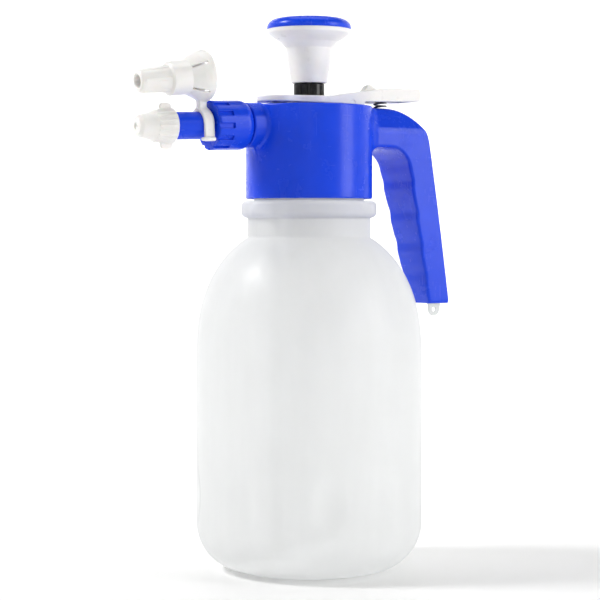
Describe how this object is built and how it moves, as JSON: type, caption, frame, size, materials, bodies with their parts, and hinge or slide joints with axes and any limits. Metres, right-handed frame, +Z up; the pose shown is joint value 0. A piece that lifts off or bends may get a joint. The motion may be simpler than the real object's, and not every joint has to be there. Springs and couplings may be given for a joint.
{
  "type": "hand pump pressure sprayer",
  "caption": "Hand-pumped pressure sprayer with a translucent bottle, screw-on head and handle, thumb lever, pump knob, adjustable nozzle and clip-on foam nozzle.",
  "frame": {"origin": "centre of the bottle's base, on the surface that it stands on", "axes": "+Z up along the bottle and the pump's axis, -X towards the nozzle, +X towards the handle"},
  "size_m": [0.1994, 0.1268, 0.31],
  "materials": {
    "milky_bottle": "translucent milky polyethylene, satin",
    "milky_tube": "translucent polyethylene",
    "blue_plastic": "moulded polypropylene, semi-gloss",
    "white_plastic": "moulded acetal, semi-gloss",
    "black_plastic": "glossy black nylon",
    "rubber": "matt seal rubber",
    "steel": "stainless wire"
  },
  "bodies": {
    "tank": {"tank": "milky_bottle"},
    "neck_seal": {"neck_gasket": "rubber"},
    "head": {"head_body": "blue_plastic", "lever_pin": "white_plastic", "lever_spring": "steel", "valve_spring": "steel", "valve_gland": "white_plastic", "pump_barrel": "white_plastic", "barrel_oring": "rubber", "pump_gland": "black_plastic", "check_valve": "rubber", "dip_tube": "milky_tube", "dip_filter": "white_plastic", "handle_plug": "milky_tube"},
    "lever": {"lever": "white_plastic"},
    "valve": {"valve_stem": "white_plastic", "valve_seal": "rubber"},
    "plunger": {"pump_rod": "white_plastic", "piston": "black_plastic", "piston_seal": "rubber", "rod_bumper": "rubber", "knob_body": "white_plastic", "knob_cap": "blue_plastic"},
    "spray_tube": {"nozzle_tube": "blue_plastic", "tube_gasket": "rubber", "nozzle_core": "black_plastic"},
    "swivel_nut": {"swivel_nut": "blue_plastic"},
    "cap_seal": {"nozzle_oring": "rubber"},
    "nozzle_cap": {"nozzle_cap": "white_plastic"},
    "foam_nozzle": {"foam_nozzle": "white_plastic", "foam_mesh": "steel"}
  },
  "joints": [
    {"name": "head_rise", "type": "slide", "parent": "tank", "child": "neck_seal", "axis": [0, 0, 1], "range_m": [0, 0.01]},
    {"name": "head_turn", "type": "hinge", "parent": "neck_seal", "child": "head", "pos_m": [0, 0, 0.22], "axis": [0, 0, 1], "range_deg": [0, 720]},
    {"name": "pump_stroke", "type": "slide", "parent": "head", "child": "plunger", "axis": [0, 0, 1], "range_m": [0, 0.095]},
    {"name": "lever_press", "type": "hinge", "parent": "head", "child": "lever", "pos_m": [0.022, 0, 0.2625], "axis": [0, 1, 0], "range_deg": [0, 4.5], "stiffness_Nm_per_rad": 0.3, "springref_deg": -3.44, "deforming": ["lever_spring"]},
    {"name": "valve_lift", "type": "slide", "parent": "head", "child": "valve", "axis": [0, 0, 1], "range_m": [0, 0.0034], "deforming": ["valve_spring"]},
    {"name": "tube_out", "type": "slide", "parent": "head", "child": "spray_tube", "axis": [-0.9994, 0, -0.0349], "range_m": [0, 0.006]},
    {"name": "nut_turn", "type": "hinge", "parent": "spray_tube", "child": "swivel_nut", "pos_m": [-0.035, 0, 0.2489], "axis": [-0.9994, 0, -0.0349], "range_deg": [0, 720]},
    {"name": "cap_out", "type": "slide", "parent": "spray_tube", "child": "cap_seal", "axis": [-0.9994, 0, -0.0349], "range_m": [0, 0.002]},
    {"name": "cap_turn", "type": "hinge", "parent": "cap_seal", "child": "nozzle_cap", "pos_m": [-0.035, 0, 0.2489], "axis": [-0.9994, 0, -0.0349], "range_deg": [0, 360]},
    {"name": "foam_swing", "type": "hinge", "parent": "spray_tube", "child": "foam_nozzle", "pos_m": [-0.035, 0, 0.2489], "axis": [-0.9994, 0, -0.0349], "continuous": true}
  ],
  "couplings": [
    {"joint": "head_turn", "follows": "head_rise", "rad_per_m": 1256.6},
    {"joint": "lever_press", "follows": "valve_lift", "rad_per_m": 22.988},
    {"joint": "nut_turn", "follows": "tube_out", "rad_per_m": 2094.4},
    {"joint": "cap_turn", "follows": "cap_out", "rad_per_m": 3141.6}
  ]
}
